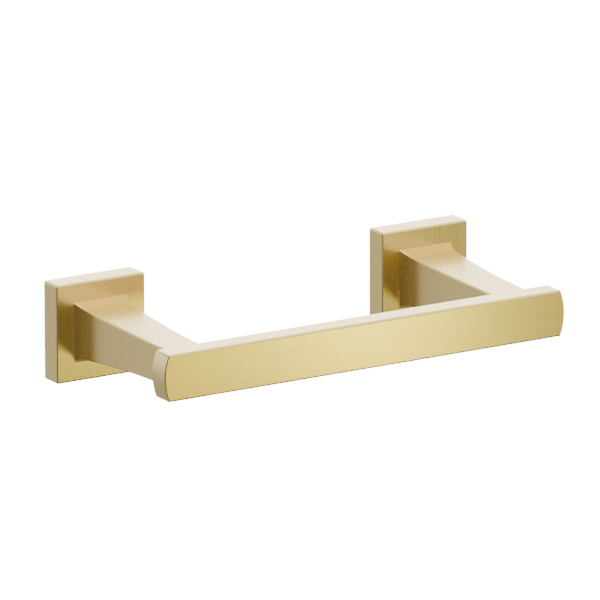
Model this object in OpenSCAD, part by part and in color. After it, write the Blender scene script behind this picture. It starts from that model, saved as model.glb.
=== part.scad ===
// Double-post paper holder with a swing-up bar.
// The wall is the plane y = 0 and the holder reaches out along -y, with z up and x along the wall.
// The origin is the middle of the wall-screw pattern. The bar swings up about the right-hand post.

/* [Overall] */
// Distance between the centres of the two posts
post_spacing = 190.5; // [155:0.5:240]
// Distance from the wall to the front face of the bar
projection = 110; // [90:0.5:135]

/* [Wall plates] */
// Side of each square wall plate
plate_side = 50.8; // [42:0.1:62]
// How far each wall plate stands off the wall
plate_depth = 12.7; // [11:0.1:16]
// Thickness of the plate's four side walls
plate_wall = 2.4; // [2:0.1:3]
// Thickness of the plate's front wall
plate_front = 3; // [2.6:0.1:3.6]

/* [Posts] */
// Width of the post where it meets the wall plate
post_base_w = 31; // [25.5:0.1:37.5]
// Height of the post where it meets the wall plate
post_base_h = 30.5; // [25:0.1:37]
// Width of the post where it meets the bar
post_end_w = 20.3; // [18.5:0.1:22.5]
// Height of the post where it meets the bar
post_end_h = 18.9; // [17.5:0.1:20.5]
// Share of the narrowing that is left at the crease where the foot meets the arm
neck_share = 0.56; // [0.4:0.01:0.75]
// Length of the flared foot next to the wall plate
foot_len = 9.5; // [7:0.1:13]
// How deep the foot's sides are hollowed below a straight slope
foot_hollow = 0.35; // [0.1:0.05:0.6]
// How deep the arm's sides are hollowed below a straight slope
arm_hollow = 0.75; // [0.2:0.05:1.2]
// Wall thickness of the hollow post
post_wall = 3; // [2.5:0.1:3.6]
// Thickness of the closed nose of the post
post_nose = 6; // [5:0.1:7.2]

/* [Bar] */
// Height of the bar
bar_h = 24; // [20:0.1:29]
// Thickness of the bar from front to back
bar_t = 12.7; // [11.5:0.1:15.5]
// Wall thickness of the bar's tube
bar_wall = 1.5; // [1.2:0.1:1.8]
// Length of the bar beyond each post's centre, up to its corners
bar_overhang = 18.75; // [16:0.05:23]
// How far the curved ends stand out beyond the corners
end_bulge = 2.4; // [1:0.1:3]
// Length of each end cap's own straight sides, from its seam to the corner
cap_rim = 1.2; // [0.8:0.1:2]
// Length of the plug of each end cap inside the tube
plug_length = 32; // [29:0.5:40]

/* [Hinge and rest] */
// Diameter of the shoulder that the bar turns on
shoulder_d = 6; // [5:0.1:7.2]
// Diameter of the pivot bolt's head
bolt_head_d = 11; // [10:0.1:11.6]
// Diameter of the pin that stops the bar when it is upright
stop_pin_d = 3; // [2.5:0.1:3.6]
// Diameter of the steel pin that carries the free end
rest_pin_d = 5; // [4:0.1:5.6]
// Diameter of the nylon sleeve on the rest pin
rest_sleeve_d = 7.6; // [6.8:0.1:8.4]
// How far the rest pin reaches into the bar
rest_reach = 6; // [5:0.1:6.6]
// How far the bar swings up from level
swing = 90; // [45:1:110]

/* [Fasteners] */
// Clearance hole for each wall screw
wall_hole_d = 4.8; // [4:0.1:5.5]
// Room for the head of each wall screw
wall_head_d = 8.6; // [7:0.1:9.5]
// Diameter of the screws that hold each post to its plate
post_screw_d = 4; // [3.4:0.1:4.6]
// Diameter of the grub screw under each plate
grub_d = 4; // [3.4:0.1:4.8]

/* [Hidden] */
$fn = 64;

// Fits and clearances
face_gap = 0.3;      // between the posts' noses and the back of the bar
slip = 0.05;         // radial clearance of a pin in its hole, and of a plug in its tube
thread_gap = 0.02;   // radial clearance left at a screw thread
rest_gap = 0.15;     // between the rest sleeve and the top of its notch
lift_gap = 1.2;      // room each side of the rest sleeve, for the arc the bar lifts along
cut = 0.5;           // how far a cutter overshoots a surface
hair = 0.01;         // and a shallow one
screw_end_gap = 1;   // between the end of a screw and the bottom of its hole

post_neck_w = post_end_w + neck_share * (post_base_w - post_end_w);
post_neck_h = post_end_h + neck_share * (post_base_h - post_end_h);
foot_steps = 6;      // straight steps that make up the foot's curve
arm_steps = 14;      // and the arm's

// Distances from the wall
nose_y = projection - bar_t - face_gap;  // front of each post's nose
bar_y = projection - bar_t;              // back face of the bar
post_len = nose_y - plate_depth;
plug_y = bar_y + bar_wall + slip;        // back face of each end cap's plug
plug_t = bar_t - 2 * bar_wall - 2 * slip;
plug_h = bar_h - 2 * bar_wall - 2 * slip;

// The bar's ends
pivot_x = post_spacing / 2;
corner_x = pivot_x + bar_overhang;
end_radius = (pow(bar_h / 2, 2) + pow(end_bulge, 2)) / (2 * end_bulge);
seam_x = corner_x - cap_rim;

// The wall bracket is a dovetail, wider in front, so the grub screw draws the plate to the wall
front_room = 1.7;        // between the bracket and the inside of the plate's front
side_room = 4;           // each side of the bracket
end_room = 5;            // above and below the bracket's back
bracket_floor = 3;
bracket_rim = 2.4;
bevel = 2.5;             // how much further the dovetail reaches in front than at the wall
bracket_t = plate_depth - plate_front - front_room;
bracket_w = plate_side - 2 * plate_wall - 2 * side_room;
bracket_back_h = plate_side - 2 * plate_wall - 2 * end_room;
pocket_w = bracket_w - 2 * bracket_rim;
pocket_h = bracket_back_h - 2 * bracket_rim;
hole_margin = 0.3;       // between a wall screw's head and the bracket's rim
wall_hole_offset = (pocket_h - wall_head_d) / 2 - hole_margin;

// The plate's rail, which hooks behind the dovetail
rail_gap = 0.25;
rail_back = 0.4;         // from the wall to the rail
rail_front = bracket_t - 1;

// The screws that hold the post to its plate, at two opposite corners
boss_wall = 1.6;
boss_floor = 1.5;        // what the screw hole leaves at the end of its boss
boss_bite = 0.6;         // how far each boss runs into the post's wall
screw_boss_d = post_screw_d + 2 * boss_wall;
screw_boss_len = 9.5;
head_ratio = 1.85;       // a countersunk head's diameter over its screw's
head_extra = 0.3;        // how much longer the head's cone is than it would be at 45 degrees
screw_head_d = head_ratio * post_screw_d;
screw_head_t = (screw_head_d - post_screw_d) / 2 + head_extra;
screw_key_ratio = 0.6;   // the key's size over the screw's
screw_socket_t = 1.6;
screw_x = post_base_w / 2 - post_wall - screw_boss_d / 2 + boss_bite;
screw_z = post_base_h / 2 - post_wall - screw_boss_d / 2 + boss_bite;
key_hole_margin = 1.2;   // between the screw heads and the hole in the middle of the plate
key_hole_d = 2 * (norm([screw_x, screw_z]) - screw_head_d / 2 - key_hole_margin);

// The grub screw, straight up through the underside of the plate
grub_y = bracket_t / 2;
grub_recess = 0.6;       // how far it is sunk into the underside
grub_boss_h = 3;         // height of its boss, from the underside
grub_boss_wall = 2;
grub_point_r = 0.1;      // radius of the flat on its point
grub_step = 0.3;         // how much slimmer the point starts than the thread
grub_touch = 0.1;        // left between the point and the bracket's bevel
grub_socket_t = 2.2;

// The hinge: a shoulder bolt in a flanged bush, with a wave washer behind the nose
bush_wall = 1.2;
flange_rim = 2.6;                        // from the shoulder to the flange's edge
flange_t = 1.2;
bush_d = shoulder_d + 2 * bush_wall;
flange_d = shoulder_d + 2 * flange_rim;
flange_y = nose_y - flange_t + face_gap - slip;
washer_t = 0.8;
wave_t = 0.35;
wave_rise = 0.3;
wave_in = 0.3;                           // from the shoulder to the wave washer
wave_out = 0.4;                          // from its edge to the edge of the bolt's head
washer_y = nose_y - post_nose;           // inner face of the nose
wave_y = washer_y - washer_t - wave_rise - wave_t / 2 - slip;
head_y = wave_y - wave_rise - wave_t / 2 - slip;
head_t = 4;
pocket_room = 0.6;                       // round the bolt's head
pocket_d = bolt_head_d + 2 * pocket_room;
pocket_len = 14;
thread_ratio = 0.8;                      // the bolt's thread over its shoulder
thread_len = 7;
thread_floor = 1.6;                      // the least the thread leaves at the front of the plug
thread_end = 0.6;                        // between the end of the bolt and its hole
bolt_d = thread_ratio * shoulder_d;
bolt_thread = min(thread_len, plug_t - thread_floor);
bolt_key = shoulder_d * 2 / 3;
bolt_socket_t = 2.6;
stop_wall = 0.9;                         // between the bush's flange and the stop pin
stop_r = (flange_d + stop_pin_d) / 2 + stop_wall;
stop_angle = -45;
stop_bite = 2;                           // how far the stop pin reaches past the tube's wall
stop_reach = bar_wall + stop_bite;
stop_floor = 1;                          // what its hole leaves at the back of the nose
stop_end = 0.2;                          // between its end and the bottom of its hole
groove_room = 0.2;
groove_lead = 4;                         // angle the groove runs on past the pin when the bar is level
groove_deep = 0.6;                       // from the pin's tip to the bottom of the groove

// The rest: a shouldered pin and its nylon sleeve, in a notch that opens downwards
rest_head_t = 0.8;
rest_head_d = (rest_pin_d + rest_sleeve_d) / 2;
rest_sink = 0.5;         // how far its inner end is let into the nose
notch_w = rest_sleeve_d + 2 * lift_gap;
notch_room = 0.5;        // between its tip and the bottom of the notch
notch_depth = rest_reach + notch_room;
notch_top = rest_sleeve_d / 2 + rest_gap;

// The screw that keeps the left cap in the tube
cap_screw_d = 3;
cap_head_d = cap_screw_d + 2.6;
cap_hole_floor = 2;
cap_screw_key = 1.8;
cap_socket_t = 0.9;
cap_screw_x = (plug_length - bar_overhang + cap_rim + notch_w / 2) / 2;
end_facets = 128;

BRUSHED_GOLD = [0.80, 0.68, 0.42];
ZINC = [0.70, 0.71, 0.72];
STEEL = [0.78, 0.78, 0.76];
NYLON = [0.93, 0.92, 0.88];

// ---- Frames of reference ----

// Children are drawn with x along the wall, y up and z out from the wall
module from_wall(x = 0, out = 0) {
    translate([x, -out, 0]) rotate([90, 0, 0]) children();
}

// A rod that starts this far from the wall and points away from it
module rod(d, out, length, x = 0, up = 0) {
    from_wall(x, out) translate([0, up, 0]) cylinder(d = d, h = length);
}

// A block centred on x and z that starts this far from the wall
module block(w, h, out, depth, x = 0) {
    translate([x - w / 2, -out - depth, -h / 2]) cube([w, depth, h]);
}

// ---- Shapes that repeat ----

// A hexagon socket, sized by the key that fits it
module hex_socket(key, depth) {
    cylinder(d = key / cos(30), h = depth, $fn = 6);
}

// A straight slope from a to b, hollowed by a shallow curve, at a share t of the way along
function slope(a, b, hollow, t) = a + (b - a) * t - 4 * hollow * t * (1 - t);

// One side of the post's outline, as [half-width, distance from the wall]: its foot, then its arm
function post_edge(base, neck, end, inset) = concat(
    [for (i = [0:foot_steps - 1]) let (t = i / foot_steps)
        [slope(base, neck, 2 * foot_hollow, t) / 2 - inset, plate_depth + foot_len * t]],
    [for (i = [0:arm_steps]) let (t = i / arm_steps)
        [slope(neck, end, 2 * arm_hollow, t) / 2 - inset, plate_depth + foot_len + (post_len - foot_len) * t]]
);

// The whole outline: that edge, and its mirror image on the way back
module post_outline(base, neck, end, inset) {
    edge = post_edge(base, neck, end, inset);
    polygon(concat(edge, [for (i = [len(edge) - 1:-1:0]) [-edge[i][0], edge[i][1]]]));
}

// The flared post: its plan and its side view, each extruded, and what they share
module flared_post(inset = 0) {
    reach = 2 * max(post_base_w, post_base_h);
    rotate([180, 0, 0]) intersection() {
        linear_extrude(reach, center = true)
            post_outline(post_base_w, post_neck_w, post_end_w, inset);
        rotate([0, 90, 0]) linear_extrude(reach, center = true)
            post_outline(post_base_h, post_neck_h, post_end_h, inset);
    }
}

// Places children at the two post screws, at opposite corners of the post's base
module at_post_screws(x, out) {
    for (s = [-1, 1])
        from_wall(x, out) translate([s * screw_x, s * screw_z, 0]) children();
}

// ---- Fixed to the wall ----

// The wall bracket: a dovetail frame with a floor that takes the wall screws
module wall_bracket(x) {
    half_back = bracket_back_h / 2;
    half_front = half_back + bevel;
    color(ZINC) translate([x, 0, 0]) difference() {
        rotate([90, 0, -90]) linear_extrude(bracket_w, center = true)
            polygon([[0, -half_back], [0, half_back], [bracket_t, half_front], [bracket_t, -half_front]]);
        block(pocket_w, pocket_h, bracket_floor, bracket_t);
        for (s = [-1, 1])
            rod(wall_hole_d, -cut, bracket_floor + 2 * cut, up = s * wall_hole_offset);
    }
}

// The square wall plate: a cup with a rail that hooks behind the bracket's upper bevel
module wall_plate(x) {
    inner = plate_side - 2 * plate_wall;
    cavity = plate_depth - plate_front;
    half_back = bracket_back_h / 2 + rail_gap;
    color(BRUSHED_GOLD) translate([x, 0, 0]) difference() {
        union() {
            difference() {
                block(plate_side, plate_side, 0, plate_depth);
                block(inner, inner, -cut, cavity + cut);
            }
            rotate([90, 0, -90]) linear_extrude(bracket_w, center = true)
                polygon([
                    [rail_back, inner / 2 + cut],
                    [rail_back, half_back + bevel * rail_back / bracket_t],
                    [rail_front, half_back + bevel * rail_front / bracket_t],
                    [rail_front, inner / 2 + cut]
                ]);
            translate([0, -grub_y, -inner / 2 - cut])
                cylinder(d = grub_d + 2 * grub_boss_wall, h = grub_boss_h - plate_wall + cut);
        }
        translate([0, -grub_y, -plate_side / 2 - cut])
            cylinder(d = grub_d + 2 * thread_gap, h = plate_wall + grub_boss_h + 2 * cut);
        rod(key_hole_d, cavity - cut, plate_front + 2 * cut);
        at_post_screws(0, cavity) {
            translate([0, 0, -cut]) cylinder(d = post_screw_d + 2 * slip, h = plate_front + 2 * cut);
            translate([0, 0, -hair])
                cylinder(d1 = screw_head_d + 2 * slip, d2 = post_screw_d + 2 * slip, h = screw_head_t);
        }
    }
}

// The grub screw: a cone point that wedges under the bracket's lower bevel
module grub_screw(x) {
    top = -bracket_back_h / 2 - bevel * grub_y / bracket_t - grub_touch;
    bottom = -plate_side / 2 + grub_recess;
    point = grub_d / 2 - grub_step - grub_point_r;
    color(STEEL) translate([x, -grub_y, bottom]) difference() {
        union() {
            cylinder(d = grub_d, h = top - bottom - point);
            translate([0, 0, top - bottom - point])
                cylinder(r1 = grub_d / 2 - grub_step, r2 = grub_point_r, h = point);
        }
        translate([0, 0, -hair]) hex_socket(grub_d / 2, grub_socket_t);
    }
}

// The hollow post, with bosses for its screws and a round pocket behind its nose
module post(x) {
    core_len = post_len - post_nose - pocket_len / 2;
    reach = 2 * post_base_w;
    translate([x, 0, 0]) difference() {
        flared_post();
        difference() {
            intersection() {
                union() {
                    flared_post(post_wall);
                    block(post_base_w - 2 * post_wall, post_base_h - 2 * post_wall, plate_depth - cut, cut);
                }
                block(reach, reach, plate_depth - cut, core_len + cut);
            }
            at_post_screws(0, plate_depth) cylinder(d = screw_boss_d, h = screw_boss_len);
        }
        rod(pocket_d, washer_y - pocket_len, pocket_len);
        at_post_screws(0, plate_depth - cut)
            cylinder(d = post_screw_d + 2 * thread_gap, h = screw_boss_len - boss_floor + cut);
    }
}

// The left post's nose holds the rest pin
module post_left() {
    color(BRUSHED_GOLD) difference() {
        post(-pivot_x);
        rod(rest_pin_d + 2 * thread_gap, washer_y - cut, post_nose + 2 * cut, -pivot_x);
    }
}

// The right post's nose holds the hinge bush and the stop pin
module post_right() {
    color(BRUSHED_GOLD) difference() {
        post(pivot_x);
        rod(bush_d + 2 * thread_gap, washer_y - cut, post_nose + 2 * cut, pivot_x);
        rod(flange_d + 2 * slip, flange_y, flange_t + cut, pivot_x);
        at_stop(washer_y + stop_floor)
            cylinder(d = stop_pin_d + 2 * thread_gap, h = post_nose + cut);
    }
}

// Countersunk screws, from inside the plate into the post
module post_screws(x) {
    color(STEEL) at_post_screws(x, plate_depth - plate_front) difference() {
        union() {
            cylinder(d1 = screw_head_d, d2 = post_screw_d, h = screw_head_t);
            cylinder(d = post_screw_d, h = plate_front + screw_boss_len - boss_floor - screw_end_gap);
        }
        translate([0, 0, -hair]) hex_socket(screw_key_ratio * post_screw_d, screw_socket_t);
    }
}

// ---- The rest at the free end ----

// The rest pin: pressed into the nose, with a head that keeps the sleeve on
module rest_pin() {
    tip = bar_y + rest_reach;
    color(STEEL) {
        rod(rest_pin_d, washer_y + rest_sink, tip - washer_y - rest_sink, -pivot_x);
        rod(rest_head_d, tip - rest_head_t, rest_head_t, -pivot_x);
    }
}

// The nylon sleeve that the notch in the bar comes down on
module rest_sleeve() {
    length = bar_y + rest_reach - rest_head_t - nose_y - 2 * slip;
    color(NYLON) difference() {
        rod(rest_sleeve_d, nose_y + slip, length, -pivot_x);
        rod(rest_pin_d + 2 * slip, nose_y, length + 2 * cut, -pivot_x);
    }
}

// ---- The hinge ----

// Places children at the stop pin, this far from the wall
module at_stop(out) {
    from_wall(pivot_x, out) rotate(stop_angle) translate([stop_r, 0, 0]) children();
}

// The flanged nylon bush, its flange let into the nose
module hinge_bush() {
    color(NYLON) difference() {
        union() {
            rod(bush_d, washer_y, post_nose, pivot_x);
            rod(flange_d, flange_y, flange_t, pivot_x);
        }
        rod(shoulder_d + 2 * slip, washer_y - cut, post_nose + 2 * cut, pivot_x);
    }
}

// The stop pin stands in a curved groove in the back of the bar
module stop_pin() {
    start = stop_floor + stop_end;
    color(STEEL) at_stop(washer_y + start)
        cylinder(d = stop_pin_d, h = post_nose - start + face_gap + stop_reach);
}

// The shoulder bolt: it turns with the bar, and its shoulder carries the hinge
module pivot_bolt() {
    shoulder_len = plug_y - head_y;
    color(STEEL) difference() {
        union() {
            rod(bolt_head_d, head_y - head_t, head_t, pivot_x);
            rod(shoulder_d, head_y - cut, shoulder_len + cut, pivot_x);
            rod(bolt_d, plug_y - cut, bolt_thread + cut, pivot_x);
        }
        from_wall(pivot_x, head_y - head_t - hair) hex_socket(bolt_key, bolt_socket_t);
    }
}

// The nylon washer that rubs on the inside of the nose
module thrust_washer() {
    color(NYLON) difference() {
        rod(bolt_head_d, washer_y - washer_t - slip, washer_t, pivot_x);
        rod(shoulder_d + 4 * slip, washer_y - washer_t - cut, washer_t + 2 * cut, pivot_x);
    }
}

// The wave washer: a flat ring whose height rises and falls three times round
module wave_washer() {
    steps = 48;
    waves = 3;
    r_in = shoulder_d / 2 + wave_in;
    r_out = bolt_head_d / 2 - wave_out;
    function corner(i, r, side) =
        let (a = 360 * i / steps)
        [r * cos(a), r * sin(a), wave_rise * cos(waves * a) + side * wave_t / 2];
    points = [for (i = [0:steps - 1])
        each [corner(i, r_in, -1), corner(i, r_out, -1), corner(i, r_out, 1), corner(i, r_in, 1)]];
    faces = [for (i = [0:steps - 1], k = [0:3])
        let (j = (i + 1) % steps, m = (k + 1) % 4)
        [4 * i + k, 4 * j + k, 4 * j + m, 4 * i + m]];
    color(STEEL) from_wall(pivot_x, wave_y) polyhedron(points, faces);
}

// ---- The bar ----

// The groove that the stop pin runs along as the bar swings, widened by its running room
module stop_groove() {
    width = stop_pin_d + 2 * groove_room;
    first = stop_angle - groove_lead;
    depth = stop_reach + groove_deep;
    from_wall(pivot_x, bar_y - cut) {
        rotate(first) rotate_extrude(angle = swing + groove_lead)
            translate([stop_r - width / 2, 0]) square([width, depth + cut]);
        for (a = [first, stop_angle + swing])
            rotate(a) translate([stop_r, 0, 0]) cylinder(d = width, h = depth + cut);
    }
}

// The notch that comes down over the rest sleeve, round at the top and open below
module rest_notch() {
    middle = notch_top - notch_w / 2;
    rod(notch_w, bar_y - cut, notch_depth + cut, -pivot_x, middle);
    translate([-pivot_x - notch_w / 2, -bar_y - notch_depth, -bar_h / 2 - cut])
        cube([notch_w, notch_depth + cut, bar_h / 2 + cut + middle]);
}

// Places children at the screw that keeps the left cap in the tube
module at_cap_screw(out) {
    from_wall(-pivot_x + cap_screw_x, out) children();
}

// The rectangular tube, open at both ends
module bar_tube() {
    color(BRUSHED_GOLD) difference() {
        block(2 * seam_x, bar_h, bar_y, bar_t);
        block(2 * seam_x + 2 * cut, bar_h - 2 * bar_wall, bar_y + bar_wall, bar_t - 2 * bar_wall);
        rod(shoulder_d + 2 * slip, bar_y - cut, bar_wall + 2 * cut, pivot_x);
        stop_groove();
        rest_notch();
        at_cap_screw(bar_y) {
            translate([0, 0, -hair])
                cylinder(d1 = cap_head_d + 4 * slip, d2 = cap_screw_d + 2 * slip, h = bar_wall - slip);
            cylinder(d = cap_screw_d + 2 * slip, h = bar_wall + cut);
        }
    }
}

// An end cap: a curved end that continues the tube, and a plug that fills it
module end_cap(side) {
    face_x = seam_x + slip;
    intersection() {
        from_wall(side * (corner_x + end_bulge - end_radius), bar_y)
            cylinder(r = end_radius, h = bar_t, $fn = end_facets);
        block(bar_h, bar_h, bar_y, bar_t, side * (face_x + bar_h / 2));
    }
    block(plug_length + cut, plug_h, plug_y, plug_t, side * (face_x + cut - (plug_length + cut) / 2));
}

// The right cap takes the pivot bolt and the stop groove
module end_cap_right() {
    color(BRUSHED_GOLD) difference() {
        end_cap(1);
        rod(bolt_d + 2 * thread_gap, plug_y - cut, bolt_thread + thread_end + cut, pivot_x);
        stop_groove();
    }
}

// The left cap takes the rest notch and the cap screw
module end_cap_left() {
    color(BRUSHED_GOLD) difference() {
        end_cap(-1);
        rest_notch();
        at_cap_screw(plug_y - cut)
            cylinder(d = cap_screw_d + 2 * thread_gap, h = plug_t - cap_hole_floor + cut);
    }
}

// The countersunk screw that keeps the left cap in the tube
module cap_screw() {
    color(STEEL) at_cap_screw(bar_y) difference() {
        union() {
            cylinder(d1 = cap_head_d, d2 = cap_screw_d, h = bar_wall - 2 * slip);
            cylinder(d = cap_screw_d, h = bar_wall + plug_t - cap_hole_floor - screw_end_gap);
        }
        translate([0, 0, -hair]) hex_socket(cap_screw_key, cap_socket_t);
    }
}

wall_bracket(-pivot_x);  // wall_bracket_left
wall_bracket(pivot_x);  // wall_bracket_right
wall_plate(-pivot_x);  // wall_plate_left
wall_plate(pivot_x);  // wall_plate_right
post_left();
post_right();
post_screws(-pivot_x);  // post_screws_left
post_screws(pivot_x);  // post_screws_right
grub_screw(-pivot_x);  // grub_screw_left
grub_screw(pivot_x);  // grub_screw_right
rest_pin();
rest_sleeve();
hinge_bush();
stop_pin();
pivot_bolt();
wave_washer();
thrust_washer();
bar_tube();
end_cap_left();
end_cap_right();
cap_screw();
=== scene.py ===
"""Satin brushed gold paper holder: two wall plates, two flared posts and a bar that swings up at the right."""
import math

import bmesh
import bpy
import numpy as np
from mathutils import Matrix, Vector


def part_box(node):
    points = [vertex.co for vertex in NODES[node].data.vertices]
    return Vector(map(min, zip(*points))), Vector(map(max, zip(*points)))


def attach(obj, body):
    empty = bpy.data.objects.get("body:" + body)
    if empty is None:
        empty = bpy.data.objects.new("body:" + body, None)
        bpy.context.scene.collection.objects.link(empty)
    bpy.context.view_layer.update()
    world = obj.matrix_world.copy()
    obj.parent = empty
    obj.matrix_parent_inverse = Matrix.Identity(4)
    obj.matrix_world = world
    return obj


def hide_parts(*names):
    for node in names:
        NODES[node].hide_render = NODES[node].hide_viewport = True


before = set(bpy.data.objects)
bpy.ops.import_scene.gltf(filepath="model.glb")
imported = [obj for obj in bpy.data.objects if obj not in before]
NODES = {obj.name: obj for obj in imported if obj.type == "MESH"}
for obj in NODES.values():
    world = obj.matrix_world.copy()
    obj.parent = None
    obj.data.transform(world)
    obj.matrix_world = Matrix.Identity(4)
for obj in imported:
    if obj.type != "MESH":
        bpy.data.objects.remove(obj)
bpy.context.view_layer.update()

bl_info = {
    "name": "Paper Holder",
    "version": (1, 0, 0),
    "blender": (4, 5, 0),
    "location": "3D View > Sidebar > Holder",
    "description": "Builds a double-post paper holder with a swing-up bar around its packed parts",
    "category": "Object",
}

MM = 0.001

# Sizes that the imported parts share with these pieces, but that their boxes don't tell.
PLATE_WALL, PLATE_FRONT = 2.4 * MM, 3.0 * MM
GRUB_HOLE_RADIUS = 2.05 * MM
RAIL_GAP, RAIL_BACK, RAIL_SINK = 0.25 * MM, 0.4 * MM, 0.5 * MM
RAIL_DEEP, RAIL_SHALLOW = 2.37 * MM, 0.31 * MM
BUSH_BORE_RADIUS, HEAD_POCKET_RADIUS, HEAD_POCKET_LENGTH = 4.22 * MM, 6.1 * MM, 14 * MM
FLANGE_DEPTH, SLIP = 1.2 * MM, 0.05 * MM
TUBE_WALL, BOLT_BORE_RADIUS = 1.5 * MM, 3.05 * MM
SEAM_GAP = 0.05 * MM
END_BULGE = 2.4 * MM
PLUG_LENGTH, PLUG_INSET, PLUG_LAP = 32 * MM, 1.55 * MM, 0.5 * MM
LIFT_GAP, REST_GAP, NOTCH_DEPTH = 1.2 * MM, 0.15 * MM, 6.5 * MM
STOP_GAP, GROOVE_DEPTH = 0.2 * MM, 4.1 * MM
# How far the stop groove runs on before rest, and the bar's whole swing, in degrees.
GROOVE_LEAD, SWING = 4, 90
# Corners of the plates, seen from the front: in the hollow, outside, and the least that the rounding leaves.
HOLLOW_CORNER, PLATE_CORNER, LEAST_CORNER = 0.5 * MM, 1.15 * MM, 0.02 * MM
# How much of the rounding above and below a plate's upright front edges get.
UPRIGHT_EDGE_SHARE = 0.45
# How close to a plane a point has to be to lie in it.
ON = 0.01 * MM


# ---- Colour and material ----

def linear(hex_colour):
    """The linear RGB of an sRGB hex colour: below 0.04045 a straight line, above it a power of 2.4."""
    srgb = np.array([int(hex_colour[i:i + 2], 16) for i in (1, 3, 5)]) / 255
    return tuple(np.where(srgb <= 0.04045, srgb / 12.92, ((srgb + 0.055) / 1.055) ** 2.4))


def add_node(tree, kind, settings=None, links=None, **inputs):
    """Adds one node: settings are its properties, inputs its socket values, links its sockets fed by others."""
    node = tree.nodes.new(kind)
    for key, value in (settings or {}).items():
        setattr(node, key, value)
    for key, value in inputs.items():
        node.inputs[key.replace("_", " ")].default_value = value
    for key, source in (links or {}).items():
        tree.links.new(source, node.inputs[key])
    return node


def new_material(name):
    """An empty node material with its output; returns it with its tree."""
    material = bpy.data.materials.new(name)
    material.use_nodes = True
    material.node_tree.nodes.clear()
    return material, material.node_tree


def streaks(tree, stretch, fine, seed):
    """Parallel scratches: noise squeezed across the brush and drawn out along it.

    stretch is per axis, and fine is in lines per metre.
    """
    place = add_node(tree, "ShaderNodeTexCoord")
    squeeze = add_node(tree, "ShaderNodeMapping", {"vector_type": "POINT"},
                       {"Vector": place.outputs["Object"]}, Scale=stretch, Location=(seed, seed, seed))
    return add_node(tree, "ShaderNodeTexNoise", {"noise_dimensions": "3D"},
                    {"Vector": squeeze.outputs["Vector"]}, Scale=fine, Detail=3.0, Roughness=0.6)


def brushed_gold(colours):
    """PVD gold over brass, brushed with a fine belt: warm satin metal whose scratches run along each face."""
    material, tree = new_material("brushed_gold_pvd_brass")
    # Scratches run along the wall, or upright on the faces that the attribute marks.
    along = streaks(tree, (0.008, 1.0, 1.0), 1700.0, 0.0)
    upright = streaks(tree, (1.0, 1.0, 0.008), 1700.0, 7.0)
    side = add_node(tree, "ShaderNodeAttribute", {"attribute_name": "upright_brushing"})
    grain = add_node(tree, "ShaderNodeMix", {"data_type": "FLOAT"},
                     {"Factor": side.outputs["Fac"], "A": along.outputs["Fac"], "B": upright.outputs["Fac"]})
    # A slow drift of tone, a few centimetres long, keeps long faces from looking like paint.
    drift = streaks(tree, (0.3, 1.0, 1.0), 40.0, 3.0)
    tone = add_node(tree, "ShaderNodeMath", {"operation": "MULTIPLY_ADD"},
                    {0: drift.outputs["Fac"], 2: grain.outputs["Result"]})
    tone.inputs[1].default_value = 0.35
    colour = add_node(tree, "ShaderNodeMixRGB", {"blend_type": "MIX"}, {"Fac": tone.outputs["Value"]},
                      Color1=(*colours.gold_deep, 1.0), Color2=(*colours.gold_light, 1.0))
    rough = add_node(tree, "ShaderNodeMapRange", {}, {"Value": grain.outputs["Result"]},
                     From_Min=0.3, From_Max=0.7, To_Min=0.22, To_Max=0.28)
    bump = add_node(tree, "ShaderNodeBump", {}, {"Height": grain.outputs["Result"]},
                    Strength=0.05, Distance=0.01 * MM)
    shader = add_node(tree, "ShaderNodeBsdfPrincipled", {},
                      {"Base Color": colour.outputs["Color"], "Roughness": rough.outputs["Result"],
                       "Normal": bump.outputs["Normal"]},
                      Metallic=1.0, Coat_Weight=0.5, Coat_Roughness=0.2)
    add_node(tree, "ShaderNodeOutputMaterial", {}, {"Surface": shader.outputs["BSDF"]})
    return material


def plain_metal(name, colour, roughness, grain_per_metre, stretch):
    """A bare metal fitting: its own colour, with fine tool marks in its roughness and relief."""
    material, tree = new_material(name)
    marks = streaks(tree, stretch, grain_per_metre, 1.0)
    shade = add_node(tree, "ShaderNodeMixRGB", {"blend_type": "MIX"}, {"Fac": marks.outputs["Fac"]},
                     Color1=(*(0.86 * np.array(colour)), 1.0), Color2=(*colour, 1.0))
    rough = add_node(tree, "ShaderNodeMapRange", {}, {"Value": marks.outputs["Fac"]},
                     From_Min=0.3, From_Max=0.7, To_Min=roughness - 0.06, To_Max=roughness + 0.06)
    bump = add_node(tree, "ShaderNodeBump", {}, {"Height": marks.outputs["Fac"]},
                    Strength=0.2, Distance=0.05 * MM)
    shader = add_node(tree, "ShaderNodeBsdfPrincipled", {},
                      {"Base Color": shade.outputs["Color"], "Roughness": rough.outputs["Result"],
                       "Normal": bump.outputs["Normal"]}, Metallic=1.0)
    add_node(tree, "ShaderNodeOutputMaterial", {}, {"Surface": shader.outputs["BSDF"]})
    return material


def moulded_nylon(colours):
    """Natural nylon, injection moulded: milky, a little waxy, with a faint spark-eroded texture."""
    material, tree = new_material("moulded_nylon")
    cloud = streaks(tree, (1.0, 1.0, 1.0), 900.0, 2.0)
    shade = add_node(tree, "ShaderNodeMixRGB", {"blend_type": "MIX"}, {"Fac": cloud.outputs["Fac"]},
                     Color1=(*(0.9 * np.array(colours.nylon)), 1.0), Color2=(*colours.nylon, 1.0))
    bump = add_node(tree, "ShaderNodeBump", {}, {"Height": cloud.outputs["Fac"]},
                    Strength=0.15, Distance=0.05 * MM)
    shader = add_node(tree, "ShaderNodeBsdfPrincipled", {},
                      {"Base Color": shade.outputs["Color"], "Normal": bump.outputs["Normal"]},
                      Roughness=0.45, IOR=1.53, Subsurface_Weight=0.1, Subsurface_Scale=0.001)
    add_node(tree, "ShaderNodeOutputMaterial", {}, {"Surface": shader.outputs["BSDF"]})
    return material


# ---- Surfaces ----

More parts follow.
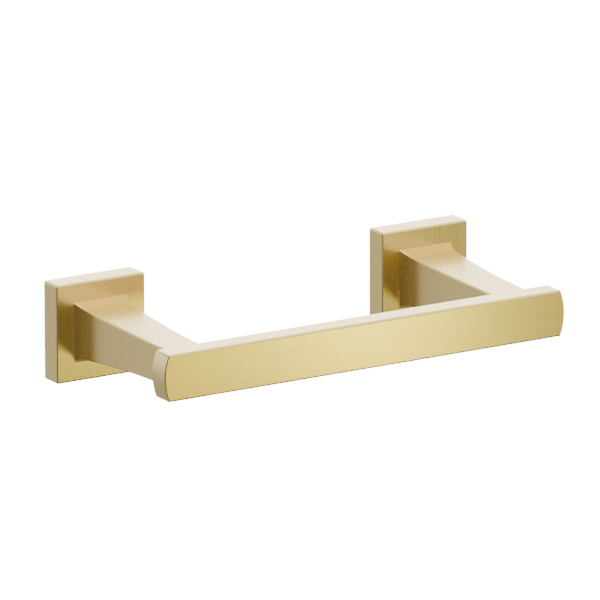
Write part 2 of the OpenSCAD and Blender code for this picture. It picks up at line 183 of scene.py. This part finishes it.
def mesh_object(name, points, faces):
    """Puts whole arrays of points (metres) and faces into a new mesh object at the origin."""
    mesh = bpy.data.meshes.new(name)
    mesh.from_pydata(points.reshape(-1, 3).tolist(), [], faces)
    mesh.update()
    obj = bpy.data.objects.new(name, mesh)
    bpy.context.collection.objects.link(obj)
    return obj


def ring_faces(rings, around):
    """Quads between each ring and the next, wrapped round, with a flat cap on the first and the last ring."""
    i, j = np.meshgrid(np.arange(rings - 1), np.arange(around), indexing="ij")
    k, m = i + 1, (j + 1) % around
    quads = np.stack([i * around + j, i * around + m, k * around + m, k * around + j], -1).reshape(-1, 4)
    last = (rings - 1) * around
    return quads.tolist() + [list(range(around))[::-1], list(range(last, last + around))]


def rounded_rings(centre_x, half_w, half_h, radius, out, corner_steps=6):
    """Rounded rectangles one in front of the other, out from the wall.

    Point (i, j) is ring i's corner centre, (+-(w - r), +-(h - r)), plus r times the unit vector at angle j.
    """
    w, h, r, y = (np.broadcast_to(np.asarray(v, float), np.shape(out))[:, None]
                  for v in (half_w, half_h, radius, out))
    corner = np.repeat(np.arange(4), corner_steps + 1)
    angle = (np.tile(np.linspace(0, 1, corner_steps + 1), 4) + corner) * math.pi / 2
    sx = np.array([1, -1, -1, 1])[corner]
    sz = np.array([1, 1, -1, -1])[corner]
    x = centre_x + sx * (w - r) + r * np.cos(angle)
    z = sz * (h - r) + r * np.sin(angle)
    return np.stack([x, -y + 0 * x, z], -1)


def quarter(radius, steps=5):
    """A quarter circle as (how far in, how far forward), from the side of a block round to its face."""
    a = np.linspace(0, math.pi / 2, steps + 1)
    return radius * (1 - np.cos(a)), radius * np.sin(a)


def slope(a, b, hollow, t):
    """A straight slope from a to b, hollowed in the middle by a shallow curve."""
    return a + (b - a) * t - 4 * hollow * t * (1 - t)


def flare(first, end, sizes, t_foot, t_arm):
    """Half a post's width or height, from its base to its end: one hollowed slope to the neck, then another."""
    neck = end + sizes.neck_share * (first - end)
    return np.concatenate([slope(first, neck, sizes.foot_hollow, t_foot),
                           slope(neck, end, sizes.arm_hollow, t_arm)])


def extruded(name, outline, start, end, axis="y"):
    """A flat outline carried straight along an axis from start to end and closed at both ends.

    The outline's two coordinates are the other two axes, in their usual order.
    """
    along = np.array([start, end])[:, None] + 0 * outline[None, :, 0]
    u, v = (outline[None, :, k] + 0 * along for k in (0, 1))
    order = {"x": (along, u, v), "y": (u, along, v), "z": (u, v, along)}[axis]
    return mesh_object(name, np.stack(order, -1), ring_faces(2, len(outline)))


def circle(centre, radius, steps=48):
    """An outline for a round hole."""
    return arc(centre, radius, 0, 360, steps)[:-1]


def middle(node):
    """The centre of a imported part's box."""
    return np.mean([np.array(v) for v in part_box(node)], axis=0)


def box_outline(x0, x1, z0, z1):
    """An outline for a rectangle."""
    return np.array([[x0, z0], [x1, z0], [x1, z1], [x0, z1]])


def arc(centre, radius, start, end, steps):
    """Points on a circle between two angles in degrees."""
    a = np.radians(np.linspace(start, end, steps + 1))
    return np.stack([centre[0] + radius * np.cos(a), centre[1] + radius * np.sin(a)], -1)


def outward(obj):
    """Merges doubles and turns every face outwards."""
    shell = bmesh.new()
    shell.from_mesh(obj.data)
    bmesh.ops.remove_doubles(shell, verts=shell.verts, dist=1e-7)
    bmesh.ops.recalc_face_normals(shell, faces=shell.faces)
    shell.to_mesh(obj.data)
    shell.free()


def boolean(obj, tool, operation):
    """Cuts or joins a tool into a piece for good, and removes the tool."""
    outward(obj)
    outward(tool)
    step = obj.modifiers.new("cut", "BOOLEAN")
    step.operation, step.object, step.solver = operation, tool, "EXACT"
    graph = bpy.context.evaluated_depsgraph_get()
    result = bpy.data.meshes.new_from_object(obj.evaluated_get(graph))
    obj.modifiers.remove(step)
    obj.data = result
    bpy.data.objects.remove(tool)


def fillet(obj, width, where, steps=4):
    """Rounds the sharp edges whose two ends pass the test, and leaves the others crisp."""
    mesh = obj.data
    shell = bmesh.new()
    shell.from_mesh(mesh)
    layer = shell.edges.layers.float.new("bevel_weight_edge")
    for edge in shell.edges:
        if len(edge.link_faces) == 2 and edge.calc_face_angle(0) > math.radians(35):
            a, b = (np.array(v.co) for v in edge.verts)
            edge[layer] = float(where(a, b))
    shell.to_mesh(mesh)
    shell.free()
    bevel = obj.modifiers.new("edge fillets", "BEVEL")
    bevel.width, bevel.segments, bevel.limit_method = width, steps, "WEIGHT"
    bevel.harden_normals = True
    bevel.use_clamp_overlap = True
    bevel.miter_outer = "MITER_ARC"


def finish(obj, body, replaced, material, brushed_upright=False):
    """Shades a piece smooth but for its sharp edges and gives it its brushing, its metal and its body."""
    mesh = obj.data
    normals = np.empty(len(mesh.polygons) * 3)
    mesh.polygons.foreach_get("normal", normals)
    sideways, upwards = np.abs(normals.reshape(-1, 3)).T[[0, 2]]
    # A plate is brushed upright but on its top and bottom, and the other pieces where they look sideways.
    upright = upwards < 0.8 if brushed_upright else sideways > 0.8
    mesh.attributes.new("upright_brushing", "FLOAT", "FACE").data.foreach_set("value", upright.astype(float))
    mesh.shade_smooth()
    mesh.set_sharp_from_angle(angle=math.radians(30))
    weighted = obj.modifiers.new("face weights", "WEIGHTED_NORMAL")
    weighted.keep_sharp, weighted.weight = True, 100
    mesh.materials.clear()
    mesh.materials.append(material)
    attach(obj, body)
    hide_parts(*replaced)


# ---- Sizes and colours ----

class HolderSizes(bpy.types.PropertyGroup):
    """The sizes of the finish work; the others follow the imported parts."""
    plate_fillet: bpy.props.FloatProperty(
        name="Plate edges", description="Radius of the wall plates' front edges",
        default=1.1 * MM, min=0.1 * MM, max=1.5 * MM, unit="LENGTH", precision=5)
    post_fillet: bpy.props.FloatProperty(
        name="Post edges", description="Radius of the four long edges of each post",
        default=0.9 * MM, min=0.1 * MM, max=2 * MM, unit="LENGTH", precision=5)
    bar_fillet: bpy.props.FloatProperty(
        name="Bar edges", description="Radius of the bar's edges",
        default=1.0 * MM, min=0.1 * MM, max=1.4 * MM, unit="LENGTH", precision=5)
    foot: bpy.props.FloatProperty(
        name="Foot length", description="Length of the flared foot of each post",
        default=9.5 * MM, min=7 * MM, max=13 * MM, unit="LENGTH", precision=5)
    neck_share: bpy.props.FloatProperty(
        name="Neck share", description="Share of the narrowing that is left at the end of the foot",
        default=0.56, min=0.4, max=0.75, subtype="FACTOR")
    end_width: bpy.props.FloatProperty(
        name="End width", description="Width of the post at the bar",
        default=20.3 * MM, min=18 * MM, max=23 * MM, unit="LENGTH", precision=5)
    end_height: bpy.props.FloatProperty(
        name="End height", description="Height of the post at the bar",
        default=18.9 * MM, min=17 * MM, max=21 * MM, unit="LENGTH", precision=5)
    foot_hollow: bpy.props.FloatProperty(
        name="Foot hollow", description="How deep the foot's sides are hollowed",
        default=0.35 * MM, min=0, max=1 * MM, unit="LENGTH", precision=5)
    arm_hollow: bpy.props.FloatProperty(
        name="Arm hollow", description="How deep the arm's sides are hollowed",
        default=0.75 * MM, min=0, max=2 * MM, unit="LENGTH", precision=5)


class HolderColours(bpy.types.PropertyGroup):
    """The colours of the finishes."""
    gold_light: bpy.props.FloatVectorProperty(
        name="Gold, light", description="Brushed gold on the crests of its scratches",
        subtype="COLOR", size=3, min=0, max=1, default=linear("#F6DD97"))
    gold_deep: bpy.props.FloatVectorProperty(
        name="Gold, deep", description="Brushed gold in the bottoms of its scratches",
        subtype="COLOR", size=3, min=0, max=1, default=linear("#EACD83"))
    zinc: bpy.props.FloatVectorProperty(
        name="Zinc", description="The brackets' bare casting",
        subtype="COLOR", size=3, min=0, max=1, default=linear("#B9BBBD"))
    steel: bpy.props.FloatVectorProperty(
        name="Steel", description="Turned stainless screws and pins",
        subtype="COLOR", size=3, min=0, max=1, default=linear("#C9C8C4"))
    nylon: bpy.props.FloatVectorProperty(
        name="Nylon", description="Bush, washer and sleeve",
        subtype="COLOR", size=3, min=0, max=1, default=linear("#EDEAE0"))
    floor: bpy.props.FloatVectorProperty(
        name="Floor", description="The pale studio floor",
        subtype="COLOR", size=3, min=0, max=1, default=linear("#FFFFFF"))


def gold():
    """The one brushed gold that all the outside pieces share."""
    found = bpy.data.materials.get("brushed_gold_pvd_brass")
    return found or brushed_gold(bpy.context.scene.holder_colours)


# ---- Pieces ----

class HOLDER_OT_wall_plates(bpy.types.Operator):
    """Two square cups: straight sides, a rounded front edge and a hollow back that hides the bracket"""
    bl_idname = "holder.wall_plates"
    bl_label = "Wall plates"

    def execute(self, context):
        sizes = context.scene.holder_sizes
        for hand in ("left", "right"):
            node = f"wall_plate_{hand}"
            low, high = (np.array(v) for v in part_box(node))
            centre, half = (low[0] + high[0]) / 2, (high[0] - low[0]) / 2
            depth = -low[1]
            round_in, round_out = quarter(sizes.plate_fillet)
            inner = half - PLATE_WALL
            # From the ceiling of the hollow back to the wall, across the rim, and out over the front edge.
            # The edges above and below are rounder than the upright ones.
            heights = np.concatenate([[inner, inner, half], half - round_in])
            widths = np.concatenate([[inner, inner, half], half - UPRIGHT_EDGE_SHARE * round_in])
            outs = np.concatenate([[depth - PLATE_FRONT, 0, 0], depth - sizes.plate_fillet + round_out])
            radii = np.concatenate([[HOLLOW_CORNER, HOLLOW_CORNER, PLATE_CORNER],
                                    np.maximum(PLATE_CORNER - round_in, LEAST_CORNER)])
            rings = rounded_rings(centre, widths, heights, radii, outs)
            plate = mesh_object(f"{node}_skin", rings, ring_faces(len(outs), rings.shape[1]))
            # The rail inside the top that hooks behind the bracket, and the hole for the grub screw below.
            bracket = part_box(f"wall_bracket_{hand}")
            back, ahead = -RAIL_BACK, bracket[0][1] + MM
            root, shelf = inner + RAIL_SINK, bracket[1][2] + RAIL_GAP
            slanted = np.array([[back, root], [back, shelf - RAIL_DEEP],
                                [ahead, shelf - RAIL_SHALLOW], [ahead, root]])
            boolean(plate, extruded("rail_tool", slanted, bracket[0][0], bracket[1][0], "x"), "UNION")
            hole = circle(middle(f"grub_screw_{hand}")[:2], GRUB_HOLE_RADIUS)
            boolean(plate, extruded("grub_hole_tool", hole, -half - MM, -inner + MM, "z"), "DIFFERENCE")
            finish(plate, "holder", [node], gold(), brushed_upright=True)
        return {"FINISHED"}


class HOLDER_OT_posts(bpy.types.Operator):
    """Two flared rectangular posts: a short foot on the plate, then a long arm hollowed by a shallow curve"""
    bl_idname = "holder.posts"
    bl_label = "Posts"

    def execute(self, context):
        sizes = context.scene.holder_sizes
        for hand in ("left", "right"):
            node = f"post_{hand}"
            low, high = (np.array(v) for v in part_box(node))
            centre = (low[0] + high[0]) / 2
            base, nose = -high[1], -low[1]
            crease = base + sizes.foot
            t_foot, t_arm = np.linspace(0, 1, 13)[:-1], np.linspace(0, 1, 41)
            out = np.concatenate([base + sizes.foot * t_foot, crease + (nose - crease) * t_arm])
            half_w = flare((high[0] - low[0]) / 2, sizes.end_width / 2, sizes, t_foot, t_arm)
            half_h = flare((high[2] - low[2]) / 2, sizes.end_height / 2, sizes, t_foot, t_arm)
            rings = rounded_rings(centre, half_w, half_h, sizes.post_fillet, out)
            post = mesh_object(f"{node}_skin", rings, ring_faces(len(out), rings.shape[1]))
            outward(post)
            if hand == "right":
                # The bush's bore, the pocket behind it for the bolt's head, and the seat of the bush's flange.
                # The bore comes first: a pocket that is still closed all round would be turned inside out.
                axle, bush = middle("pivot_bolt"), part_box("hinge_bush")
                front, rear = bush[0][1], bush[1][1]
                flange_radius = (bush[1][0] - bush[0][0]) / 2 + SLIP
                for radius, start, end in ((BUSH_BORE_RADIUS, front - MM, rear + MM),
                                           (HEAD_POCKET_RADIUS, rear, rear + HEAD_POCKET_LENGTH),
                                           (flange_radius, front - MM, front + FLANGE_DEPTH)):
                    boolean(post, extruded("bore_tool", circle(axle[::2], radius), start, end), "DIFFERENCE")
            finish(post, "holder", [node], gold())
        return {"FINISHED"}


def rest_notch():
    """The notch over the rest sleeve: a slot as wide as the lift needs, round at the top and open below."""
    low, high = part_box("rest_sleeve")
    bar_low, bar_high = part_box("bar_tube")
    centre, radius = (low[0] + high[0]) / 2, (high[0] - low[0]) / 2
    half, top = radius + LIFT_GAP, radius + REST_GAP
    outline = np.concatenate([
        [[centre + half, bar_low[2] - MM]],
        arc((centre, top - half), half, 0, 180, 32),
        [[centre - half, bar_low[2] - MM]]])
    return extruded("rest_notch_tool", outline, bar_high[1] + MM, bar_high[1] - NOTCH_DEPTH)


def stop_groove():
    """The curved groove for the stop pin: a ring sector about the pivot with round ends."""
    low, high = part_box("stop_pin")
    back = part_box("bar_tube")[1][1]
    pivot = middle("pivot_bolt")[0]
    pin_x, pin_z = (low[0] + high[0]) / 2 - pivot, (low[2] + high[2]) / 2
    reach, start = math.hypot(pin_x, pin_z), math.degrees(math.atan2(pin_z, pin_x))
    half = (high[0] - low[0]) / 2 + STOP_GAP
    first, last = start - GROOVE_LEAD, start + SWING
    ends = [(pivot + reach * math.cos(a), reach * math.sin(a)) for a in np.radians([first, last])]
    outline = np.concatenate([
        arc((pivot, 0), reach + half, first, last, 40),
        arc(ends[1], half, last, last + 180, 14)[1:],
        arc((pivot, 0), reach - half, last, first, 40)[1:],
        arc(ends[0], half, first + 180, first + 360, 14)[1:-1]])
    return extruded("stop_groove_tool", outline, back + MM, back - GROOVE_DEPTH)


class HOLDER_OT_bar(bpy.types.Operator):
    """The bar's rectangular tube, with its notch for the rest and its groove for the stop pin"""
    bl_idname = "holder.bar"
    bl_label = "Bar"

    def execute(self, context):
        sizes = context.scene.holder_sizes
        low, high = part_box("bar_tube")
        tube = extruded("bar_tube_skin", box_outline(low[0], high[0], low[2], high[2]), high[1], low[1])
        hollow = box_outline(low[0] - MM, high[0] + MM, low[2] + TUBE_WALL, high[2] - TUBE_WALL)
        boolean(tube, extruded("bar_core_tool", hollow, high[1] - TUBE_WALL, low[1] + TUBE_WALL), "DIFFERENCE")
        boolean(tube, rest_notch(), "DIFFERENCE")
        boolean(tube, stop_groove(), "DIFFERENCE")
        bore = circle(middle("pivot_bolt")[::2], BOLT_BORE_RADIUS)
        boolean(tube, extruded("bolt_bore_tool", bore, high[1] + MM, high[1] - TUBE_WALL - MM), "DIFFERENCE")

        def outer(point):
            return abs(point[2]) > high[2] - ON and (point[1] > high[1] - ON or point[1] < low[1] + ON)

        fillet(tube, sizes.bar_fillet, lambda a, b: outer(a) and outer(b) and abs(a[0] - b[0]) > MM)
        finish(tube, "bar", ["bar_tube"], gold())
        return {"FINISHED"}


class HOLDER_OT_end_caps(bpy.types.Operator):
    """The bar's two arched end caps, each with the plug that fills the tube"""
    bl_idname = "holder.end_caps"
    bl_label = "End caps"

    def execute(self, context):
        sizes = context.scene.holder_sizes
        tube_low, tube_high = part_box("bar_tube")
        height = tube_high[2]
        seam = tube_high[0] + SEAM_GAP
        # The arch: a circle through both corners that stands out by the bulge in the middle.
        radius = (height ** 2 + END_BULGE ** 2) / (2 * END_BULGE)
        spread = math.degrees(math.asin(height / radius))

        def at_seam(point):
            return abs(abs(point[0]) - seam) < ON

        def outside(a, b):
            return min(abs(a[0]), abs(b[0])) > seam - ON and not (at_seam(a) and at_seam(b))

        for side, hand in ((-1, "left"), (1, "right")):
            node = f"end_cap_{hand}"
            low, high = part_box(node)
            tip = high[0] if side > 0 else -low[0]
            corner = tip - END_BULGE
            outline = np.concatenate([
                [[seam, -height], [corner, -height]],
                arc((tip - radius, 0), radius, -spread, spread, 40)[1:-1],
                [[corner, height], [seam, height]]]) * [side, 1]
            cap = extruded(f"{node}_skin", outline, tube_high[1], tube_low[1])
            inner = height - PLUG_INSET
            plug = box_outline(seam - PLUG_LENGTH, seam + PLUG_LAP, -inner, inner) * [side, 1]
            block = extruded("plug_tool", plug, tube_high[1] - PLUG_INSET, tube_low[1] + PLUG_INSET)
            boolean(cap, block, "UNION")
            boolean(cap, rest_notch() if side < 0 else stop_groove(), "DIFFERENCE")
            fillet(cap, sizes.bar_fillet, outside)
            finish(cap, "bar", [node], gold())
        return {"FINISHED"}


class HOLDER_OT_fittings(bpy.types.Operator):
    """Gives the brackets, screws, pins, bush and washers the metals and the nylon that they are made of"""
    bl_idname = "holder.fittings"
    bl_label = "Fittings"

    def execute(self, context):
        colours = context.scene.holder_colours
        finishes = {
            "cast_zinc": (plain_metal("cast_zinc", colours.zinc, 0.5, 700.0, (1, 1, 1)),
                          ["wall_bracket_left", "wall_bracket_right"]),
            "turned_steel": (plain_metal("turned_steel", colours.steel, 0.28, 2500.0, (1, 0.1, 1)),
                             ["post_screws_left", "post_screws_right", "grub_screw_left", "grub_screw_right",
                              "rest_pin", "stop_pin", "pivot_bolt", "wave_washer", "cap_screw"]),
            "moulded_nylon": (moulded_nylon(colours), ["rest_sleeve", "hinge_bush", "thrust_washer"]),
        }
        for material, nodes in finishes.values():
            for name in nodes:
                mesh = NODES[name].data
                mesh.materials.clear()
                mesh.materials.append(material)
        return {"FINISHED"}


# ---- Stage ----

def area_light(name, place, aim, size, power, colour):
    """A rectangular softbox at a place, turned towards a point."""
    lamp = bpy.data.lights.new(name, "AREA")
    lamp.shape, lamp.size, lamp.size_y = "RECTANGLE", size[0], size[1]
    lamp.energy, lamp.color = power, colour
    obj = bpy.data.objects.new(name, lamp)
    obj.location = place
    obj.rotation_euler = (Vector(aim) - Vector(place)).to_track_quat("-Z", "Y").to_euler()
    bpy.context.collection.objects.link(obj)


# Tints of the room's walls, as linear RGB.
WHITE = (1.0, 0.98, 0.88)
CREAM = (1.0, 1.0, 0.70)
AMBER = (1.0, 0.87, 0.47)
DUSK = (0.80, 0.81, 1.0)

# The room's soft glows: name, direction, tightness, brightness and tint.
GLOWS = (
    ("white_sweep_behind", (0.50, 0.82, 0.27), 10.0, 4.2, WHITE),
    ("ceiling", (0.0, 0.0, 1.0), 5.0, 3.4, CREAM),
    ("high_wall_behind_left", (-0.54, 0.82, 0.17), 14.0, 1.7, WHITE),
    ("low_wall_behind", (-0.25, 0.75, -0.60), 10.0, 0.5, WHITE),
    ("left_wall", (-0.85, 0.47, -0.27), 12.0, 0.15, WHITE),
    ("dark_flag_front_left", (-0.70, -0.70, 0.10), 6.0, 0.34, DUSK),
    ("low_left", (-0.60, -0.30, -0.74), 20.0, 0.9, WHITE),
    ("front_high", (0.30, -0.80, 0.50), 6.0, 1.4, CREAM),
    ("right_wall", (1.0, -0.10, 0.0), 6.0, 3.1, AMBER),
)

# The floor's half width and how far it lies below the holder, in metres.
FLOOR_REACH, FLOOR_DROP = 6.0, 0.4

# Where the camera looks, its direction from there in degrees, its distance in metres, and its lens.
CAMERA_TARGET = (-2.65 * MM, -50.8 * MM, 10.1 * MM)
CAMERA_AZIMUTH, CAMERA_ELEVATION, CAMERA_ROLL = -31.54, 15.45, -0.09
CAMERA_DISTANCE, CAMERA_LENS, CAMERA_SENSOR = 4.938, 594.0, 36.0

# Name, place, aim, size in metres, power in watts, linear RGB colour. The bar's front mirrors them.
SOFTBOXES = (
    ("key_softbox", (0.30, -0.60, -0.125), (0.0, -0.11, 0.0), (0.07, 0.11), 0.205, (1.0, 0.98, 0.115)),
    ("left_softbox", (0.18, -0.60, -0.125), (-0.121, -0.11, 0.0), (0.07, 0.11), 0.053, (1.0, 0.91, 0.02)),
)


def bright_room():
    """The room: each glow is its colour times e to the power of tightness x (cosine of its angle - 1)."""
    world = bpy.data.worlds.new("bright_room")
    world.use_nodes = True
    tree = world.node_tree
    tree.nodes.clear()
    facing = add_node(tree, "ShaderNodeTexCoord").outputs["Generated"]
    total = None
    for name, direction, tightness, brightness, tint in GLOWS:
        cosine = add_node(tree, "ShaderNodeVectorMath", {"operation": "DOT_PRODUCT"}, {0: facing})
        cosine.inputs[1].default_value = Vector(direction).normalized()
        power = add_node(tree, "ShaderNodeMath", {"operation": "MULTIPLY_ADD"}, {0: cosine.outputs["Value"]})
        power.inputs[1].default_value, power.inputs[2].default_value = tightness, -tightness
        fade = add_node(tree, "ShaderNodeMath", {"operation": "EXPONENT"}, {0: power.outputs["Value"]})
        colour = [brightness * part for part in tint]
        glow = add_node(tree, "ShaderNodeBackground", {"label": name}, {"Strength": fade.outputs["Value"]},
                        Color=(*colour, 1.0))
        if total is None:
            total = glow.outputs["Background"]
        else:
            added = add_node(tree, "ShaderNodeAddShader", {}, {0: total, 1: glow.outputs["Background"]})
            total = added.outputs["Shader"]
    add_node(tree, "ShaderNodeOutputWorld", {}, {"Surface": total})
    return world


class HOLDER_OT_stage(bpy.types.Operator):
    """A plain pale floor, a soft bright room, softboxes and the camera"""
    bl_idname = "holder.stage"
    bl_label = "Stage"

    def execute(self, context):
        scene = context.scene
        colours = scene.holder_colours
        corners = np.array([[-1, -1], [1, -1], [1, 1], [-1, 1]]) * FLOOR_REACH
        floor = mesh_object("floor", np.insert(corners, 2, -FLOOR_DROP, axis=1), [(0, 1, 2, 3)])
        material, tree = new_material("pale_floor")
        glow = add_node(tree, "ShaderNodeEmission", Color=(*colours.floor, 1.0), Strength=17.0)
        add_node(tree, "ShaderNodeOutputMaterial", {}, {"Surface": glow.outputs["Emission"]})
        floor.data.materials.append(material)
        floor.visible_glossy = floor.visible_diffuse = False

        scene.world = bright_room()
        for light in SOFTBOXES:
            area_light(*light)

        azimuth, elevation, roll = (math.radians(v) for v in (CAMERA_AZIMUTH, CAMERA_ELEVATION, CAMERA_ROLL))
        back = Vector((math.sin(azimuth) * math.cos(elevation), -math.cos(azimuth) * math.cos(elevation),
                       math.sin(elevation)))
        lens = bpy.data.cameras.new("camera")
        lens.lens, lens.sensor_width = CAMERA_LENS, CAMERA_SENSOR
        lens.clip_start, lens.clip_end = 0.1, 50.0
        camera = bpy.data.objects.new("camera", lens)
        place = Matrix.Translation(Vector(CAMERA_TARGET) + back * CAMERA_DISTANCE)
        aim = back.to_track_quat("Z", "Y").to_matrix().to_4x4()
        camera.matrix_world = place @ aim @ Matrix.Rotation(roll, 4, "Z")
        context.collection.objects.link(camera)
        scene.camera = camera
        return {"FINISHED"}


class HOLDER_PT_sidebar(bpy.types.Panel):
    """Lists the sizes, the colours and the build steps"""
    bl_label = "Paper Holder"
    bl_idname = "HOLDER_PT_sidebar"
    bl_space_type = "VIEW_3D"
    bl_region_type = "UI"
    bl_category = "Holder"

    def draw(self, context):
        layout = self.layout
        for group in (context.scene.holder_sizes, context.scene.holder_colours):
            column = layout.column()
            for name in group.__annotations__:
                column.prop(group, name)
        for step in STEPS:
            layout.operator(step.bl_idname)


STEPS = (HOLDER_OT_wall_plates, HOLDER_OT_posts, HOLDER_OT_bar, HOLDER_OT_end_caps, HOLDER_OT_fittings,
         HOLDER_OT_stage)
CLASSES = (HolderSizes, HolderColours, *STEPS, HOLDER_PT_sidebar)


def register():
    for cls in CLASSES:
        bpy.utils.register_class(cls)
    bpy.types.Scene.holder_sizes = bpy.props.PointerProperty(type=HolderSizes)
    bpy.types.Scene.holder_colours = bpy.props.PointerProperty(type=HolderColours)


def unregister():
    del bpy.types.Scene.holder_colours
    del bpy.types.Scene.holder_sizes
    for cls in reversed(CLASSES):
        bpy.utils.unregister_class(cls)


def main():
    """Registers the add-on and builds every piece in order."""
    register()
    for step in STEPS:
        group, name = step.bl_idname.split(".")
        getattr(getattr(bpy.ops, group), name)()


if __name__ == "__main__":
    main()
